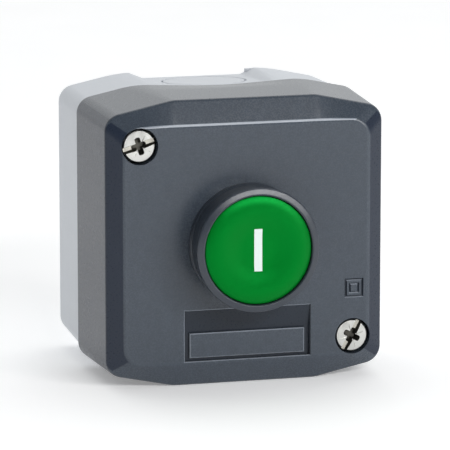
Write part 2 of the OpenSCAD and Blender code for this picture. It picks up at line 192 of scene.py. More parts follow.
def arc(centre_x, centre_y, radius, start, end, steps):
    """Points along an arc, by angles in degrees, ends included."""
    return [(centre_x + radius * math.cos(math.radians(start + (end - start) * i / steps)),
             centre_y + radius * math.sin(math.radians(start + (end - start) * i / steps)))
            for i in range(steps + 1)]


def round_rect(half_x, half_z, radius, steps=8):
    points = []
    for sx, sz, start in ((1, 1, 0), (-1, 1, 90), (-1, -1, 180), (1, -1, 270)):
        points += arc(sx * (half_x - radius), sz * (half_z - radius), radius,
                      start, start + 90, steps)
    return points


def discard(obj):
    mesh = obj.data
    bpy.data.objects.remove(obj)
    bpy.data.meshes.remove(mesh)


def bake(obj):
    """Applies the object's modifiers."""
    bpy.context.view_layer.update()
    graph = bpy.context.evaluated_depsgraph_get()
    mesh = bpy.data.meshes.new_from_object(obj.evaluated_get(graph))
    obj.modifiers.clear()
    old = obj.data
    obj.data = mesh
    bpy.data.meshes.remove(old)
    return obj


def boolean(obj, cutters, operation):
    """Joins, cuts or keeps what is shared with each cutter in turn, and discards the cutters."""
    for cutter in cutters:
        modifier = obj.modifiers.new("boolean", "BOOLEAN")
        modifier.operation = operation
        modifier.solver = "EXACT"
        modifier.object = cutter
    bake(obj)
    for cutter in cutters:
        discard(cutter)
    return obj


def joined(objects):
    """Gathers the objects' meshes in the first one."""
    bm = bmesh.new()
    for obj in objects:
        bm.from_mesh(obj.data)
    bm.to_mesh(objects[0].data)
    bm.free()
    for obj in objects[1:]:
        discard(obj)
    return objects[0]


def soften(obj, width, angle=35, segments=2):
    """Rounds every edge sharper than the angle, then shades flats flat and rounds round."""
    bm = bmesh.new()
    bm.from_mesh(obj.data)
    bmesh.ops.remove_doubles(bm, verts=bm.verts, dist=2e-6)
    bmesh.ops.dissolve_limit(bm, angle_limit=math.radians(0.3), verts=bm.verts, edges=bm.edges,
                             delimit={"MATERIAL"})
    bm.to_mesh(obj.data)
    bm.free()
    bevel = obj.modifiers.new("bevel", "BEVEL")
    bevel.width = width * MM
    bevel.segments = segments
    bevel.limit_method = "ANGLE"
    bevel.angle_limit = math.radians(angle)
    bevel.miter_outer = "MITER_ARC"
    bevel.use_clamp_overlap = True
    bake(obj)
    return shade(obj)


def shade(obj, angle=30):
    for polygon in obj.data.polygons:
        polygon.use_smooth = True
    obj.data.set_sharp_from_angle(angle=math.radians(angle))
    normals = obj.modifiers.new("normals", "WEIGHTED_NORMAL")
    normals.keep_sharp = True
    normals.weight = 80
    return obj


# ---------------------------------------------------------------------------
# Materials
# ---------------------------------------------------------------------------

def srgb(r, g, b):
    """Linear colour from 0-255 values."""
    def linear(v):
        v /= 255
        return v / 12.92 if v <= 0.04045 else ((v + 0.055) / 1.055) ** 2.4
    return (linear(r), linear(g), linear(b), 1.0)


def shaded(colour, factor):
    return tuple(c * factor for c in colour[:3]) + (1,)


def node_material(name):
    material = bpy.data.materials.new(name)
    material.use_nodes = True
    tree = material.node_tree
    return material, tree, tree.nodes["Principled BSDF"]


def noise(tree, coords, scale, detail=3, rough=0.5):
    node = tree.nodes.new("ShaderNodeTexNoise")
    node.inputs["Scale"].default_value = scale
    node.inputs["Detail"].default_value = detail
    node.inputs["Roughness"].default_value = rough
    tree.links.new(coords, node.inputs["Vector"])
    return node.outputs["Fac"]


def spread(tree, value, low, high, from_low=0.3, from_high=0.7):
    node = tree.nodes.new("ShaderNodeMapRange")
    node.inputs["From Min"].default_value = from_low
    node.inputs["From Max"].default_value = from_high
    node.inputs["To Min"].default_value = low
    node.inputs["To Max"].default_value = high
    tree.links.new(value, node.inputs["Value"])
    return node.outputs["Result"]


def tinted(tree, value, dark, light):
    ramp = tree.nodes.new("ShaderNodeValToRGB")
    ramp.color_ramp.elements[0].position = 0.3
    ramp.color_ramp.elements[0].color = dark
    ramp.color_ramp.elements[1].position = 0.7
    ramp.color_ramp.elements[1].color = light
    tree.links.new(value, ramp.inputs["Fac"])
    return ramp.outputs["Color"]


def bumped(tree, shader, heights):
    """Chains bumps of (height, strength, distance in mm) into the shader's normal."""
    normal = None
    for height, strength, distance in heights:
        bump = tree.nodes.new("ShaderNodeBump")
        bump.inputs["Strength"].default_value = strength
        bump.inputs["Distance"].default_value = distance * MM
        tree.links.new(height, bump.inputs["Height"])
        if normal is not None:
            tree.links.new(normal, bump.inputs["Normal"])
        normal = bump.outputs["Normal"]
    tree.links.new(normal, shader.inputs["Normal"])


def object_coords(tree):
    return tree.nodes.new("ShaderNodeTexCoord").outputs["Object"]


def moulded_plastic(name, colour, rough, grain_mm, grain,
                    swing=0.06, wave=0.03, tint=(1, 1, 1), gloss=0.5):
    """Moulded plastic with a fine grain, slow ripples left by the mould, and faint mottling.

    grain_mm is the grain's size and grain its strength, swing is how far the colour
    varies, and wave is the height of the ripples in mm.
    """
    material, tree, shader = node_material(name)
    coords = object_coords(tree)
    mottle = noise(tree, coords, 500, 6, 0.75)
    mottled = tinted(tree, mottle, shaded(colour, 1 - swing), shaded(colour, 1 + swing))
    tree.links.new(mottled, shader.inputs["Base Color"])
    fine = noise(tree, coords, 1 / (grain_mm * MM), 3, 0.6)
    tree.links.new(spread(tree, fine, rough - 0.05, rough + 0.05), shader.inputs["Roughness"])
    ripple = noise(tree, coords, 60, 1, 0.4)
    bumped(tree, shader, [(ripple, 0.25, wave), (fine, grain, 0.02)])
    shader.inputs["Specular Tint"].default_value = (*tint, 1)
    shader.inputs["Specular IOR Level"].default_value = gloss
    return material


def metal(name, colour, rough, scratch=0.15, grain=0.1):
    """Plated or drawn metal with fine random scratches and uneven gloss."""
    material, tree, shader = node_material(name)
    coords = object_coords(tree)
    mapping = tree.nodes.new("ShaderNodeMapping")
    mapping.inputs["Scale"].default_value = (1, 1, 12)
    mapping.inputs["Rotation"].default_value = (0, 0.6, 0)
    tree.links.new(coords, mapping.inputs["Vector"])
    streaks = noise(tree, mapping.outputs["Vector"], 900, 4, 0.7)
    blotch = noise(tree, coords, 700, 3, 0.6)
    tree.links.new(tinted(tree, blotch, shaded(colour, 0.9), colour), shader.inputs["Base Color"])
    tree.links.new(spread(tree, blotch, rough - 0.06, rough + 0.1), shader.inputs["Roughness"])
    bumped(tree, shader, [(streaks, scratch, 0.01), (blotch, grain, 0.01)])
    shader.inputs["Metallic"].default_value = 1.0
    return material


def rubber(name, colour):
    material, tree, shader = node_material(name)
    coords = object_coords(tree)
    speckle = noise(tree, coords, 3000, 2)
    tree.links.new(tinted(tree, speckle, shaded(colour, 0.8), colour), shader.inputs["Base Color"])
    tree.links.new(spread(tree, speckle, 0.62, 0.8), shader.inputs["Roughness"])
    bumped(tree, shader, [(speckle, 0.3, 0.02)])
    return material


BASE_PLASTIC = moulded_plastic("base_plastic", srgb(195, 199, 205), 0.42, 0.5, 0.06,
                               swing=0.012)
COVER_FRONT = moulded_plastic("cover_front", srgb(60, 68, 78), 0.27, 0.36, 0.9, swing=0.12)
# Sides and top: copies of the cover plastic painted darker than the front as shade, the top less
# dark for the light from above.
COVER_SIDE_SHADED = moulded_plastic("cover_side_shaded", srgb(36, 44, 58), 0.30, 0.5, 0.05,
                             swing=0.02, gloss=0.33)
COVER_TOP_SHADED = moulded_plastic("cover_top_shaded", srgb(46, 53, 64), 0.30, 0.5, 0.05, swing=0.02)
COVER_EDGE = moulded_plastic("cover_edge", srgb(64, 72, 82), 0.26, 0.5, 0.05, swing=0.04)
# Painted highlight: a light copy of the cover plastic for edges and walls that face up.
COVER_PAINTED_HIGHLIGHT = moulded_plastic("cover_painted_highlight", srgb(138, 145, 155), 0.3, 0.5, 0.05, swing=0.04)
# Painted shade: a dark copy of the cover plastic for the label recess and the grooves.
COVER_RECESS_SHADE = moulded_plastic("cover_recess_shade", srgb(34, 41, 51), 0.30, 0.5, 0.05,
                               swing=0.03, gloss=0.35)
BEZEL_PLASTIC = moulded_plastic("bezel_plastic", srgb(44, 51, 61), 0.32, 0.3, 0.15,
                                swing=0.03, gloss=0.62)
CAP_PLASTIC = moulded_plastic("cap_plastic", srgb(0, 100, 27), 0.36, 0.5, 0.03,
                              swing=0.02, wave=0.01, tint=(0.02, 1, 0.16), gloss=0.85)
MARK_PLASTIC = moulded_plastic("mark_plastic", srgb(220, 231, 228), 0.35, 0.4, 0.04, swing=0.01)
BLACK_PLASTIC = moulded_plastic("black_plastic", srgb(34, 34, 36), 0.45, 0.35, 0.3)
GREY_PLASTIC = moulded_plastic("grey_plastic", srgb(150, 154, 158), 0.4, 0.4, 0.12, swing=0.02)
CARRIER_PLASTIC = moulded_plastic("carrier_plastic", srgb(20, 140, 60), 0.4, 0.4, 0.1)
SEAL_RUBBER = rubber("seal_rubber", srgb(30, 30, 31))
PLATED_STEEL = metal("plated_steel", srgb(212, 212, 208), 0.34, 0.15, 0.12)
SPRING_STEEL = metal("spring_steel", srgb(190, 190, 190), 0.22)
# Painted shade: dark steel for the walls and the deep floor of the screws' recesses.
RECESS_STEEL_SHADE = metal("recess_steel_shade", srgb(96, 94, 88), 0.42, 0.1, 0.2)
SLOT_STEEL = metal("slot_steel", srgb(200, 197, 187), 0.38, 0.1, 0.2)
CONTACT_BRASS = metal("contact_brass", srgb(214, 180, 106), 0.3)
CONTACT_SILVER = metal("contact_silver", srgb(232, 231, 226), 0.22)

# Looks of the CAD pieces that are shown as they are, by material slot
MATERIALS = {
    "black_plastic": BLACK_PLASTIC, "grey_plastic": GREY_PLASTIC,
    "carrier_plastic": CARRIER_PLASTIC, "seal_rubber": SEAL_RUBBER, "plated_steel": PLATED_STEEL,
    "contact_brass": CONTACT_BRASS, "contact_silver": CONTACT_SILVER,
}
SLOTS = {s["node"]: s["material_slot"] for s in frame["record"]["subparts"]}


def finish_piece(obj, body, node, materials):
    """Gives a piece its materials and its body, and lets it stand for its CAD node."""
    if not obj.data.materials:
        for material in materials:
            obj.data.materials.append(material)
    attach(obj, body)
    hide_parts(node)
    return obj


# ---------------------------------------------------------------------------
# Camera
# ---------------------------------------------------------------------------

CAMERA_TURN = math.radians(15.1)        # to the object's left
CAMERA_RISE = math.radians(11.04)
CAMERA_RANGE = 0.9217
CAMERA_TARGET = Vector((-0.00218, -0.040, 0.00198))
CAMERA_LENS = 316.6                     # mm, on a 36 mm sensor


def make_camera():
    data = bpy.data.cameras.new("camera")
    data.lens = CAMERA_LENS
    data.sensor_width = 36
    data.clip_start, data.clip_end = 0.05, 20
    camera = bpy.data.objects.new("camera", data)
    bpy.context.scene.collection.objects.link(camera)
    back = Vector((-math.sin(CAMERA_TURN) * math.cos(CAMERA_RISE),
                   -math.cos(CAMERA_TURN) * math.cos(CAMERA_RISE), math.sin(CAMERA_RISE)))
    camera.location = CAMERA_TARGET + back * CAMERA_RANGE
    camera.rotation_euler = (-back).to_track_quat("-Z", "Y").to_euler()
    bpy.context.scene.camera = camera


make_camera()


# ---------------------------------------------------------------------------
# Enclosure outline
# ---------------------------------------------------------------------------

def spaced(a, b, count):
    """Points from a up to but not including b."""
    return [(a[0] + (b[0] - a[0]) * i / count, a[1] + (b[1] - a[1]) * i / count)
            for i in range(count)]


def mirrored_round(quarter):
    """Closes a quarter outline, from (w, 0) to (0, h), into a whole one."""
    left = [(-x, z) for x, z in reversed(quarter[1:-1])]
    upper = quarter + left
    return upper + [(-quarter[0][0], 0)] + [(x, -z) for x, z in reversed(upper[1:])]


KINK_X = 18.5               # where the flat top ends and a shoulder begins
CORNER_STEPS, BEND_STEPS = 12, 8
SIDE_STEPS, SHOULDER_STEPS, TOP_STEPS = 5, 6, 14


def case_outline(half_w, half_h, corner_r, kink=KINK_X, kink_r=14):
    """The enclosure's outline: a flat top, shoulders that fall to the sides, round corners."""
    corner_z = half_h - (half_w - kink) * math.tan(SHOULDER_FALL)
    run = corner_r * math.tan((math.pi / 2 - SHOULDER_FALL) / 2)
    steep = 90 - math.degrees(SHOULDER_FALL)
    corner = arc(half_w - corner_r, corner_z - run, corner_r, 0, steep, CORNER_STEPS)
    kink_run = kink_r * math.tan(SHOULDER_FALL / 2)
    bend = arc(kink - kink_run, half_h - kink_r, kink_r, steep, 90, BEND_STEPS)
    quarter = spaced((half_w, 0), corner[0], SIDE_STEPS) + corner[:-1]
    quarter += spaced(corner[-1], bend[0], SHOULDER_STEPS) + bend[:-1]
    quarter += spaced(bend[-1], (0, half_h), TOP_STEPS) + [(0, half_h)]
    return mirrored_round(quarter)


def panel_outline(half_w, half_h, corner_r):
    """A rectangle with round corners, point for point alongside case_outline."""
    bend_x, bend_half = 17.0, 1.5
    corner = arc(half_w - corner_r, half_h - corner_r, corner_r, 0, 90, CORNER_STEPS)
    bend_start, bend_end = (bend_x + bend_half, half_h), (bend_x - bend_half, half_h)
    quarter = spaced((half_w, 0), corner[0], SIDE_STEPS) + corner[:-1]
    quarter += spaced(corner[-1], bend_start, SHOULDER_STEPS)
    quarter += spaced(bend_start, bend_end, BEND_STEPS)
    quarter += spaced(bend_end, (0, half_h), TOP_STEPS) + [(0, half_h)]
    return mirrored_round(quarter)


def ring(outline, depth):
    return [(x, depth, z) for x, z in outline]


def mixed(a, b, t):
    """A ring part of the way from a to b."""
    return [tuple(p + (q - p) * t for p, q in zip(v, w)) for v, w in zip(a, b)]


def towards(a, b, length):
    """A ring the given length from a towards b, point by point."""
    points = []
    for v, w in zip(a, b):
        v, w = Vector(v), Vector(w)
        points.append(tuple(v + (w - v).normalized() * length))
    return points


def rounded_edge(before, edge, after, size, steps=5):
    """Rings that round the edge ring between the rings before and after it."""
    start, end = towards(edge, before, size), towards(edge, after, size)
    rings = []
    for i in range(steps + 1):
        u = i / steps
        rings.append([
            tuple((1 - u) ** 2 * Vector(p) + 2 * u * (1 - u) * Vector(q) + u * u * Vector(r))
            for p, q, r in zip(start, edge, end)])
    return rings


# ---------------------------------------------------------------------------
# Front cover
# ---------------------------------------------------------------------------

def smoothstep(a, b, x):
    t = min(max((x - a) / (b - a), 0), 1)
    return t * t * (3 - 2 * t)


HOLLOW = 0.85
HOLLOW_WIDTH, HOLLOW_LENGTH = 24, 12


def hollowed(points):
    """Lowers the middle of the cover's top and bottom a little towards its rear edge."""
    result = []
    for x, d, z in points:
        across = 1 - smoothstep(0, HOLLOW_WIDTH, abs(x))
        along = (1 - smoothstep(JOINT_D, JOINT_D + HOLLOW_LENGTH, d)) ** 1.5
        drop = HOLLOW * across * along if abs(z) > HALF_H - 4 else 0
        result.append((x, d, z - math.copysign(drop, z)))
    return result


def cover_shell():
    half_x, half_z = PANEL_HALF
    rim_outline = case_outline(HALF_W - RIM_T, HALF_H - RIM_T, RIM_CORNER)
    inside_outline = case_outline(*INSIDE, INSIDE_CORNER)
    crown_outline = panel_outline(half_x - 2.5, half_z - 2, 3)
    crown_d = SHOULDER_D - 0.8
    rear = ring(case_outline(HALF_W, HALF_H, 4, 20, 30), JOINT_D)
    shoulder = ring(case_outline(*COVER_FRONT_HALF, CORNER_R, 17, 10), SHOULDER_D)
    panel = ring(panel_outline(half_x, half_z, PANEL_CORNER), PANEL_D)
    panel_inner = ring(panel_outline(half_x - 2, half_z - 2, PANEL_CORNER - 1.6), PANEL_D)
    rim = ring(rim_outline, JOINT_D)
    rings = [ring(crown_outline, PANEL_BACK_D), ring(crown_outline, crown_d),
             ring(inside_outline, crown_d), ring(inside_outline, LEDGE_D),
             ring(rim_outline, LEDGE_D), rim]
    rings += rounded_edge(rim, rear, shoulder, 0.22, 3)
    rings += [mixed(rear, shoulder, t) for t in (0.08, 0.16, 0.25, 0.35, 0.45, 0.55, 0.7, 0.85)]
    rings += rounded_edge(rear, shoulder, panel, 0.55)
    rings += rounded_edge(shoulder, panel, panel_inner, 0.58, 6)
    return loft("front_cover_shell", [hollowed(r) for r in rings])


LABEL_HALF = 15.0           # the label recess in x, and its lower and upper edges in z
LABEL_LOW, LABEL_HIGH = -PANEL_HALF[1] + 0.3, -15.4
PLATE_HALF = 13.75          # the raised plate in it
PLATE_LOW, PLATE_HIGH = -26.6, -20.8
PLATE_D = PANEL_D - 0.3
CHAMFER = 0.22
CUT_OVER = 0.02             # how far a cutter with sloping walls stands over the panel


def frustum(name, low, high, levels):
    """A rectangle from low to high (x, z) that grows by the stated amount at each depth."""
    return loft(name, [[(low[0] - grow, d, low[1] - grow), (high[0] + grow, d, low[1] - grow),
                        (high[0] + grow, d, high[1] + grow), (low[0] - grow, d, high[1] + grow)]
                       for d, grow in levels])


def label_cutters():
    """The sloping recess round the raised plate, with chamfered edges to both."""
    floor, top_floor = PANEL_D - 1.1, PANEL_D - 0.25
    recess = side_prism("label_recess", -LABEL_HALF, LABEL_HALF, [
        (PANEL_D + 1, LABEL_LOW), (floor, LABEL_LOW), (floor, PLATE_HIGH), (top_floor, LABEL_HIGH),
        (PANEL_D + 1, LABEL_HIGH)])
    plate = frustum("label_plate", (-PLATE_HALF, PLATE_LOW), (PLATE_HALF, PLATE_HIGH),
                    [(floor - 1, 0), (PLATE_D - CHAMFER, 0), (PLATE_D, -CHAMFER)])
    edge = frustum("label_edge", (-LABEL_HALF, LABEL_LOW), (LABEL_HALF, LABEL_HIGH),
                   [(PANEL_D - CHAMFER, -0.001), (PANEL_D + CUT_OVER, CHAMFER)])
    return [boolean(recess, [plate], "DIFFERENCE"), edge]


SQUARE = (25.65, -12.05)    # x, z of the double-square mark's centre
SQUARE_HALF = 2.27


def square_grooves():
    """Two square grooves, one in the other, with sloping walls."""
    floor, slope, flare = PANEL_D - 0.35, 0.2, 0.012
    grooves = []
    for half, width in ((SQUARE_HALF, 0.56), (1.25, 0.48)):
        low = (SQUARE[0] - half, SQUARE[1] - half)
        high = (SQUARE[0] + half, SQUARE[1] + half)
        outer = frustum("groove", low, high, [(floor, -slope), (PANEL_D + CUT_OVER, flare)])
        inner = frustum("groove_core", low, high, [(floor - 0.01, slope - width),
                                                   (PANEL_D + CUT_OVER + 0.01, -width - flare)])
        grooves.append(boolean(outer, [inner], "DIFFERENCE"))
    return grooves


def paint_faces(obj, materials, choose):
    """Gives the object the materials, and each face the one that choose picks by number.

    choose is called with the face's middle (x, depth, z) and its normal.
    """
    obj.data.materials.clear()
    for material in materials:
        obj.data.materials.append(material)
    for polygon in obj.data.polygons:
        x, y, z = (c / MM for c in polygon.center)
        polygon.material_index = choose(x, -y, z, polygon.normal)


def cover_surface(x, depth, z, normal):
    """Sorts the cover's faces: the grained front, the polished edges, painted shade on the sides,
    the top and in recesses, and painted highlight on edges and walls that face up.
    """
    # side and top pick the shaded copies, recess the painted shade, lip the painted highlight.
    front, side, recess, edge, lip, top = range(6)
    facing = -normal.y
    if depth < SHOULDER_D - 0.1:
        # Behind the shoulder: upward faces get the top's painted shade, the rest the sides' darker
        # painted shade.
        return top if normal.z > 0.7 else side
    out_x = max(abs(x) - PANEL_HALF[0] + PANEL_CORNER, 0)
    out_z = max(abs(z) - PANEL_HALF[1] + PANEL_CORNER, 0)
    from_corner = math.hypot(out_x, out_z)
    if from_corner > PANEL_CORNER - 1.0 and PANEL_D - 0.65 < depth < PANEL_D - 0.002:
        if normal.x < -0.2:
            return front
        # Faces of the panel edge that face up get the painted highlight, the rest the polished
        # edge.
        bright = normal.z > 0.2 and 0.3 < facing < 0.97 and abs(x) < PANEL_HALF[0] - 3
        return lip if bright else edge
    if from_corner > PANEL_CORNER - 0.2 and abs(normal.x) > 0.3 > abs(normal.z):
        # Corner faces turned sideways get the sides' painted shade.
        return side
    from_square = max(abs(x - SQUARE[0]), abs(z - SQUARE[1]))
    if from_square < SQUARE_HALF + 0.2 and depth < PANEL_D - 0.05:
        # Groove walls that face up get the painted highlight, the others the painted shade.
        return lip if normal.z > 0.3 else recess
    near_label = abs(x) < LABEL_HALF + 0.3 and LABEL_LOW - 0.3 < z < LABEL_HIGH + 0.3
    if not near_label or depth >= PANEL_D - 0.03:
        return front
    if 0.3 < facing < 0.9:
        # Sloping label walls near the panel surface get the painted highlight, except at the right
        # end; the rest get the painted shade.
        return lip if depth > PANEL_D - 0.6 and x < LABEL_HALF - 0.5 else recess
    on_plate = abs(x) < PLATE_HALF and PLATE_LOW < z < PLATE_HIGH and depth > PLATE_D - 0.02
    # The recess floor round the plate gets the painted shade.
    return front if on_plate else recess


WEB_HALF = 0.8              # half the thickness of the web from a boss to the wall
HEAD_HOLE_R = 11.15
COUNTERBORE_R, COUNTERBORE_D = 4.25, PANEL_D - 4.4
SCREW_HOLE_R = 2.25


def web(x, z, reach, back, front):
    """The web that joins a screw boss at x, z to the side wall."""
    side = math.copysign(1, x)
    return slab("web", *sorted((x + side * 3, x + side * reach)), z - WEB_HALF, z + WEB_HALF,
                back, front)


def front_cover():
    cover = cover_shell()
    narrow, wide = 4.6, 5.3
    back, front = JOINT_D + 1.2, PANEL_BACK_D + 0.2
    boss = [(0, back), (narrow, back), (narrow, PANEL_D - 7), (wide, PANEL_D - 6.4),
            (wide, front), (0, front)]
    bosses = []
    for x, z in SCREWS:
        bosses.append(lathe("boss", boss, (x, z), 48))
        bosses.append(web(x, z, 6, LEDGE_D + 1, PANEL_BACK_D + 0.1))
    boolean(cover, bosses, "UNION")
    cutters = [bar("head_hole", 0, 0, HEAD_HOLE_R, 40, 70, 96)]
    cutters.append(slab("key_slot", -1.6, 1.6, 5, 12.25, PANEL_BACK_D - 1, PANEL_D + 1))
    for x, z in SCREWS:
        cutters.append(bar("counterbore", x, z, COUNTERBORE_R, COUNTERBORE_D, PANEL_D + 1, 72))
        cutters.append(bar("screw_hole", x, z, SCREW_HOLE_R, JOINT_D, PANEL_D, 48))
    cutters += label_cutters()
    cutters += square_grooves()
    boolean(cover, cutters, "DIFFERENCE")
    soften(cover, 0.15, 40)
    cover.name = "front_cover_moulding"
    paint_faces(cover, [COVER_FRONT, COVER_SIDE_SHADED, COVER_RECESS_SHADE, COVER_EDGE, COVER_PAINTED_HIGHLIGHT, COVER_TOP_SHADED],
                cover_surface)
    return finish_piece(cover, "cover", "front_cover", [])


# ---------------------------------------------------------------------------
# Base
# ---------------------------------------------------------------------------

KNOCKOUT_R = 10.2
RELIEF_HALF = 12.3          # the sunk strip across its floor
RELIEF_RUN = 2.2            # run of its sloping sides for each mm of rise
RELIEF_FOOT_R = 1.6         # radius where they meet the floor
RELIEF_BACK_Z = HALF_H - 2.6
RELIEF_FRONT_Z = HALF_H - 0.95


def relief_cutter(up):
    """The sunk strip along the top (up = 1) or the bottom (up = -1) of the base."""
    def strip(z):
        slope = math.degrees(math.atan(1 / RELIEF_RUN))
        foot_x = RELIEF_HALF - RELIEF_FOOT_R * math.tan(math.radians(slope / 2))
        side = arc(foot_x, z + RELIEF_FOOT_R, RELIEF_FOOT_R, 270, 270 + slope, 5)
        side.append((RELIEF_HALF + 3 * RELIEF_RUN, z + 3))
        points = [(-x, h) for x, h in reversed(side)] + side
        return [(x, up * h) for x, h in points]
    return loft("relief", [[(x, -1, z) for x, z in strip(RELIEF_BACK_Z)],
                           [(x, JOINT_D + 0.6, z) for x, z in strip(RELIEF_FRONT_Z)]])


def knockout_ring(up):
    """A ring groove that follows the slope of the sunk strip's floor."""
    slope = (RELIEF_FRONT_Z - RELIEF_BACK_Z) / JOINT_D
    middle = JOINT_D / 2
    outer, inner, low, high = KNOCKOUT_R, KNOCKOUT_R - 0.5, -0.45, 2
    rings = []
    for radius, lift in ((outer, low), (outer, high), (inner, high), (inner, low)):
        points = []
        for j in range(96):
            a = 2 * math.pi * j / 96
            depth = middle + radius * math.sin(a)
            z = up * (RELIEF_BACK_Z + slope * depth + lift)
            points.append((radius * math.cos(a), depth, z))
        rings.append(points)
    return loft("knockout", rings, close_loop=True)


def base_shell():
    kink, kink_r = 18, 38
    back = ring(case_outline(HALF_W - 1.3, HALF_H - 1, 4, kink, kink_r), 0)
    back_inner = ring(case_outline(HALF_W - 4.3, HALF_H - 4, 3, kink, kink_r), 0)
    front = ring(case_outline(HALF_W - 0.5, HALF_H - 0.5, 4, kink, kink_r), JOINT_D)
    slack = RIM_T + 0.1
    tongue_outline = case_outline(HALF_W - slack, HALF_H - slack, RIM_CORNER - 0.1)
    inside_outline = case_outline(*INSIDE, INSIDE_CORNER)
    rings = rounded_edge(back_inner, back, front, 0.45, 4)
    rings += [mixed(back, front, t) for t in (0.2, 0.4, 0.6, 0.8, 0.95)]
    rings += [front, ring(tongue_outline, JOINT_D), ring(tongue_outline, TONGUE_D),
              ring(inside_outline, TONGUE_D), ring(inside_outline, FLOOR_T)]
    return loft("rear_box_shell", rings)


FIXINGS = [(24.0, 24.0), (-24.0, -24.0)]    # x, z of the holes for the wall screws
ROOT_D = FLOOR_T - 0.5                      # additions start a little inside the floor


def block_arm(side):
    """One of the two sprung arms that hold the contact block."""
    inner = BLOCK_HALF + 0.1
    outer = inner + 1.4
    profile = [(inner, ROOT_D), (inner, 9), (inner - 0.3, 9.3), (inner - 0.3, 9.9),
               (inner, 10.8), (inner + 0.3, 11), (outer, 11), (outer, ROOT_D)]
    return loft("arm", [[(side * x, d, z) for x, d in profile] for z in (-3, 3)])


def rear_box():
    base = base_shell()
    additions = []
    for x, z in SCREWS:
        additions.append(bar("boss", x, z, 4.4, ROOT_D, JOINT_D + 1.1, 48))
        additions.append(web(x, z, 5.6, ROOT_D, JOINT_D))
    for x, z in FIXINGS:
        additions.append(bar("fixing_pad", x, z, 5, ROOT_D, 4, 48))
    for side in (-1, 1):
        additions.append(block_arm(side))
    for z in (-12, 12):
        additions.append(slab("rib", -9, 9, z - 1, z + 1, ROOT_D, 5))
    boolean(base, additions, "UNION")
    cutters = []
    for up in (-1, 1):
        cutters.append(relief_cutter(up))
    for x, z in SCREWS:
        cutters.append(bar("screw_bore", x, z, 2.05, 10, JOINT_D + 5, 48))
    for x, z in FIXINGS:
        cutters.append(bar("wall_hole", x, z, 2.15, -2, 6, 48))
    for sx, sz in ((1, 1), (-1, 1), (-1, -1), (1, -1)):
        half_x, half_z, cx, cz = (7.5, 7.5, 11.5, 11.5) if sx == sz else (12.5, 11.5, 16.5, 15.5)
        pocket = [(sx * cx + x, sz * cz + z) for x, z in round_rect(half_x, half_z, 3)]
        cutters.append(prism("back_pocket", pocket, -2, 0.8))
    cutters.append(slab("ear_slot", 16.6, 20, HALF_H - 1.9, HALF_H - 1.35, -1, 0.7))
    boolean(base, cutters, "DIFFERENCE")
    boolean(base, [knockout_ring(-1), knockout_ring(1)], "DIFFERENCE")
    boolean(base, [slab("ear_lip", 13.4, 16.9, HALF_H - 2.8, HALF_H - 1.2, 0, 0.8)], "UNION")
    soften(base, 0.16, 30)
    base.name = "rear_box_moulding"
    base.data.materials.clear()
    return finish_piece(base, "enclosure", "rear_box", [BASE_PLASTIC])


# ---------------------------------------------------------------------------
# Push button
# ---------------------------------------------------------------------------

def fillet(points, sizes, steps=5):
    """Rounds the corners of an open (radius, depth) profile.

    sizes gives how far back each corner is cut, 0 for a sharp one.
    """
    result = []
    for i, p in enumerate(points):
        size = sizes[i]
        if size == 0 or i in (0, len(points) - 1):
            result.append(p)
            continue
        p = Vector(p)
        a = p + (Vector(points[i - 1]) - p).normalized() * size
        b = p + (Vector(points[i + 1]) - p).normalized() * size
        for j in range(steps + 1):
            u = j / steps
            q = (1 - u) ** 2 * a + 2 * u * (1 - u) * p + u * u * b
            result.append((q.x, q.y))
    return result


def thread(radius, depth, pitch, d0, d1, steps=96, rows_per_turn=8):
    """Rings of a screw thread's surface, fading out at both ends."""
    rows = int((d1 - d0) / pitch * rows_per_turn)
    rings = []
    for i in range(rows + 1):
        d = d0 + (d1 - d0) * i / rows
        fade = smoothstep(d0, d0 + pitch, d) * (1 - smoothstep(d1 - pitch, d1, d))
        points = []
        for j in range(steps):
            a = 2 * math.pi * j / steps
            phase = ((d - d0) / pitch + j / steps) % 1
            wave = abs(2 * phase - 1)
            r = radius - depth * fade * wave
            points.append((r * math.cos(a), d, r * math.sin(a)))
        rings.append(points)
    return rings


def circle_ring(radius, d, steps=96):
    angles = [2 * math.pi * j / steps for j in range(steps)]
    return [(radius * math.cos(a), d, radius * math.sin(a)) for a in angles]


BARREL_R = 11.0             # the threaded part behind the panel
STEM_R = 5.55               # hole for the plunger's stem
BORE_R = 9.0                # bore for the return spring
GASKET_R = 12.65            # outer edge of the groove for the gasket


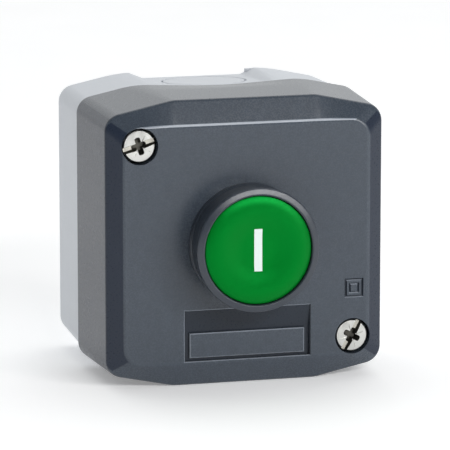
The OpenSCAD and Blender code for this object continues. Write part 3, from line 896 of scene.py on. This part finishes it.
def button_bezel():
    r = BEZEL_R
    pocket_r = CAP_R + 0.15
    pocket_d, bore_d = HEAD_D - 7.6, HEAD_D - 19
    corners = [                 # radius, depth, rounding
        (r - 0.45, PANEL_D, 0),
        (r - 0.45, PANEL_D + 1.1, 0.12),
        (r - 0.6, PANEL_D + 1.2, 0.05),
        (r - 0.6, PANEL_D + 1.6, 0.05),
        (r - 0.75, PANEL_D + 1.7, 0.05),
        (r - 0.75, HEAD_D - 4.8, 0.8),
        (r - 0.65, HEAD_D - 3.6, 0.5),
        (r - 0.2, HEAD_D - 2.3, 0.4),
        (r, HEAD_D - 1.6, 0.3),
        (r - 0.05, HEAD_D - 0.5, 0.35),
        (pocket_r + 0.3, HEAD_D, 0.18),
        (pocket_r, HEAD_D - 0.3, 0.15),
        (pocket_r, pocket_d, 0.3),
        (BORE_R, pocket_d, 0.3),
        (BORE_R, bore_d, 0.2),
        (STEM_R, bore_d, 0.2),
        (STEM_R, BARREL_END_D, 0),
    ]
    front = fillet([corner[:2] for corner in corners], [corner[2] for corner in corners])
    rings = [circle_ring(STEM_R + 0.25, BARREL_END_D), circle_ring(BARREL_R - 0.4, BARREL_END_D),
             circle_ring(BARREL_R - 0.2, BARREL_END_D + 0.3)]
    rings += thread(BARREL_R, 0.45, 1.0, BARREL_END_D + 0.5, PANEL_BACK_D + 0.4)
    rings += [circle_ring(BARREL_R, PANEL_BACK_D + 0.6), circle_ring(BARREL_R, PANEL_D + 1),
              circle_ring(GASKET_R, PANEL_D + 1), circle_ring(GASKET_R, PANEL_D)]
    rings += [circle_ring(radius, d) for radius, d in front]
    bezel = loft("button_bezel_turned", rings, close_loop=True)
    key = slab("key", -1.5, 1.5, 10.7, 12.05, PANEL_BACK_D, PANEL_D - 0.02)
    boolean(bezel, [key], "UNION")
    shade(bezel, 32)
    return finish_piece(bezel, "cover", "button_bezel", [BEZEL_PLASTIC])


CREST_R = 9.4               # radius where the cap's rim stands highest
DISH = 0.95                 # depth of the dish inside it
DISH_FLOOR_R = 3.2          # radius of the dish's flat middle
RIM_FALL = 0.75             # how far the rim falls from the crest to the cap's edge


def cap_depth(radius):
    """Depth of the cap's face: a shallow dish with a flat middle, inside a rounded rim."""
    if radius < CREST_R:
        return HEAD_D - DISH * (1 - smoothstep(DISH_FLOOR_R, CREST_R, radius))
    return HEAD_D - RIM_FALL * ((radius - CREST_R) / (CAP_R - CREST_R)) ** 2


def cap_profile(steps=40):
    back = HEAD_D - 2
    skirt = back - 0.8
    peg_r, peg_end = 3.5, back - 4
    face = [(CAP_R * i / steps, cap_depth(CAP_R * i / steps)) for i in range(steps + 1)]
    edge = fillet([face[-2], face[-1], (CAP_R, skirt), (CAP_R - 0.5, skirt), (CAP_R - 0.5, back),
                   (peg_r, back), (peg_r, peg_end), (0, peg_end)],
                  [0, 0.14, 0.1, 0.1, 0, 0, 0.2, 0])
    return face[:-1] + edge[1:]


def button_cap():
    """The cap and the inlaid mark, cut from one profile so that their faces run on."""
    half_x, half_z = MARK_HIGH.x, MARK_HIGH.z
    gap = 0.03
    cap = lathe("button_cap_moulding", cap_profile(), steps=128)
    mark = lathe("cap_mark_inlay", cap_profile(), steps=128)
    socket = prism("socket", round_rect(half_x, half_z, 0.12, 4), MARK_LOW.y, HEAD_D + 1)
    core = prism("core", round_rect(half_x - gap, half_z - gap, 0.1, 4), MARK_LOW.y, HEAD_D + 1)
    boolean(cap, [socket], "DIFFERENCE")
    boolean(mark, [core], "INTERSECT")
    shade(cap, 40)
    shade(mark, 40)
    finish_piece(cap, "button", "button_cap", [CAP_PLASTIC])
    finish_piece(mark, "button", "cap_mark", [MARK_PLASTIC])


# ---------------------------------------------------------------------------
# Screws
# ---------------------------------------------------------------------------

def turned_about(points, x, z, degrees):
    """(x, z) points turned about their own origin and moved to a screw's axis."""
    c, s = math.cos(math.radians(degrees)), math.sin(math.radians(degrees))
    return [(x + u * c - v * s, z + u * s + v * c) for u, v in points]


THREAD_R, ROOT_R = 2.0, 1.72


def tapered_cut(head, name, wide, wide_d, narrow, narrow_d):
    """Cuts a hole from the wide (x, z) outline down to the narrow one."""
    cutter = loft(name, [[(x, wide_d, z) for x, z in wide], [(x, narrow_d, z) for x, z in narrow]])
    boolean(head, [cutter], "DIFFERENCE")


def one_screw(x, z, angle):
    """A cover screw with a slot, a cross recess and two scribed ticks, turned by the angle."""
    def here(points, turn=0):
        return turned_about(points, x, z, angle + turn)

    top = PANEL_D - 0.7
    head_back = top - 2.8
    r = SCREW_R
    shank = [(0, 12), (1.0, 12), (THREAD_R, 14)]
    for i in range(24):
        d = 14.4 + i * 0.7
        shank += [(THREAD_R, d), (ROOT_R, d + 0.35)]
    shank += [(THREAD_R, 31.5), (THREAD_R, head_back + 0.3), (0, head_back + 0.3)]
    dome = [(r * 0.93 * math.sqrt(1 - i / 8), top - 0.24 * (1 - i / 8)) for i in range(8)]
    profile = [(0, head_back), (r - 0.1, head_back), (r, head_back + 0.15), (r, top - 0.75),
               (r - 0.03, top - 0.55), (r - 0.12, top - 0.38)] + dome + [(0, top)]
    head = lathe("cover_screw", profile, (x, z), 72)
    tapered_cut(head, "slot", here([(-5, -0.95), (5, -0.95), (5, 0.95), (-5, 0.95)]), top + 0.2,
                here([(-5, -0.25), (5, -0.25), (5, 0.62), (-5, 0.62)]), top - 0.93)
    for turn in (0.4, 90.4):
        tapered_cut(head, "recess", here(round_rect(2.25, 0.72, 0.5, 4), turn), top + 0.3,
                    here(round_rect(1.3, 0.45, 0.4, 4), turn), top - 2.1)
    for turn in (45, 135):
        tick = here([(-2.8, -0.1), (2.8, -0.1), (2.8, 0.1), (-2.8, 0.1)], turn)
        boolean(head, [prism("tick", tick, top - 0.28, top + 1)], "DIFFERENCE")
    return joined([head, lathe("cover_screw_shank", shank, (x, z), 48)])


def screw_surface(x, depth, z, normal):
    """The walls of the slot and of the cross recess, and the recess's deep floor, are painted dark
    as shade; the slot's floor is a little darker and duller than the head.
    """
    head, recess, slot = range(3)
    below = SCREW_HIGH.y - depth
    from_axis = min(math.hypot(x - sx, z - sz) for sx, sz in SCREWS)
    if not (0.12 < below < 2.5 and from_axis < SCREW_R - 0.15):
        return head
    # Walls of the slot and recess, and the recess's deep floor, get the painted shade.
    if abs(normal.y) < 0.95 or below > 1.2:
        return recess
    return slot if below > 0.8 else head


def cover_screws():
    both = joined([one_screw(x, z, turn) for (x, z), turn in zip(SCREWS, SLOT_TURNS)])
    both.name = "cover_screws_pair"
    both.data.materials.clear()
    soften(both, 0.06, 40)
    paint_faces(both, [PLATED_STEEL, RECESS_STEEL_SHADE, SLOT_STEEL], screw_surface)
    return finish_piece(both, "cover", "cover_screws", [])


# ---------------------------------------------------------------------------
# Springs
# ---------------------------------------------------------------------------

def coil_spring(name, node, body, wire, turns, closed):
    """A compression spring in its CAD node's box, with closed coils at both ends.
    """
    low, high = cad_box(node)
    radius = high.x - wire
    d0, d1 = low.y + wire, high.y - wire
    sides, steps = 10, 28

    def rise(u):
        free = (d1 - d0 - 4 * wire * closed) / (turns - 2 * closed)
        if u < closed:
            return 2 * wire * u
        if u > turns - closed:
            return d1 - d0 - 2 * wire * (turns - u)
        return 2 * wire * closed + free * (u - closed)

    section = [(wire * math.cos(b), wire * math.sin(b))
               for b in (2 * math.pi * j / sides for j in range(sides))]
    rings = []
    for i in range(int(turns * steps) + 1):
        a = 2 * math.pi * i / steps
        d = d0 + rise(i / steps)
        rings.append([((radius + out) * math.cos(a), d + along, (radius + out) * math.sin(a))
                      for out, along in section])
    spring = loft(name, rings)
    finish_piece(spring, body, node, [SPRING_STEEL])
    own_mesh(spring)
    return spring


# ---------------------------------------------------------------------------
# Build
# ---------------------------------------------------------------------------

front_cover()
rear_box()
button_bezel()
button_cap()
cover_screws()
coil_spring("button_spring_coil", "button_return_spring", "cover",
            wire=0.4, turns=6, closed=0.9)
coil_spring("block_spring_coil", "block_return_spring", "enclosure",
            wire=0.28, turns=6, closed=0.9)
coil_spring("contact_spring_coil", "contact_spring", "carrier",
            wire=0.22, turns=5, closed=0.9)

REPLACED = {"front_cover", "rear_box", "button_bezel", "button_cap", "cap_mark", "cover_screws",
            "button_return_spring", "block_return_spring", "contact_spring"}
for name, obj in frame["nodes"].items():
    if name not in REPLACED:
        obj.data.materials.clear()
        obj.data.materials.append(MATERIALS[SLOTS[name]])

# ---------------------------------------------------------------------------
# Stage and light
# ---------------------------------------------------------------------------

FLOOR_Z = cad_low.z


def make_floor():
    mesh = bpy.data.meshes.new("floor")
    half = 6.0                      # metres
    corners = [(-half, -half), (half, -half), (half, half), (-half, half)]
    mesh.from_pydata([(x, y, FLOOR_Z) for x, y in corners], [], [(0, 1, 2, 3)])
    floor = bpy.data.objects.new("floor", mesh)
    bpy.context.scene.collection.objects.link(floor)
    material, tree, shader = node_material("floor_paper")
    speckle = noise(tree, object_coords(tree), 40, 2)
    paper = tinted(tree, speckle, (0.93, 0.93, 0.93, 1), (0.95, 0.95, 0.95, 1))
    tree.links.new(paper, shader.inputs["Base Color"])
    shader.inputs["Roughness"].default_value = 0.9
    shader.inputs["Specular IOR Level"].default_value = 0.1
    shader.inputs["Emission Color"].default_value = (1, 1, 1, 1)
    shader.inputs["Emission Strength"].default_value = 0.24
    mesh.materials.append(material)


def softbox(name, turn, rise, distance, width, height, power):
    """An area light that faces the object.

    turn is to the right of the front and rise is above the floor, both in degrees.
    distance, width and height are in metres, and power is in watts.
    """
    data = bpy.data.lights.new(name, "AREA")
    data.shape = "RECTANGLE"
    data.size, data.size_y = width, height
    data.energy = power
    light = bpy.data.objects.new(name, data)
    bpy.context.scene.collection.objects.link(light)
    a, e = math.radians(turn), math.radians(rise)
    back = Vector((math.sin(a) * math.cos(e), -math.cos(a) * math.cos(e), math.sin(e)))
    light.location = Vector((0, -0.03, 0)) + back * distance
    light.rotation_euler = (-back).to_track_quat("-Z", "Y").to_euler()


def make_world():
    """Soft white surroundings, bright behind and to the right, dim in front and to the left."""
    world = bpy.data.worlds.new("studio")
    world.use_nodes = True
    tree = world.node_tree
    background = tree.nodes["Background"]
    background.inputs["Color"].default_value = (0.97, 0.99, 1.0, 1)
    direction = tree.nodes.new("ShaderNodeTexCoord").outputs["Generated"]
    across = tree.nodes.new("ShaderNodeVectorMath")
    across.operation = "DOT_PRODUCT"
    across.inputs[1].default_value = (0.1, 0.98, 0.1)
    tree.links.new(direction, across.inputs[0])
    strength = spread(tree, across.outputs["Value"], 0.06, 1.15, -0.35, 0.8)
    tree.links.new(strength, background.inputs["Strength"])
    bpy.context.scene.world = world


make_floor()
make_world()
softbox("key_strip", 16, 27, 1.1, 0.9, 0.10, 7.0)
softbox("right_fill", 42, 14, 1.1, 0.3, 0.25, 1.8)
softbox("rear_top", 160, 60, 1.3, 1.8, 1.2, 4.2)
bpy.context.scene.view_settings.view_transform = "Standard"
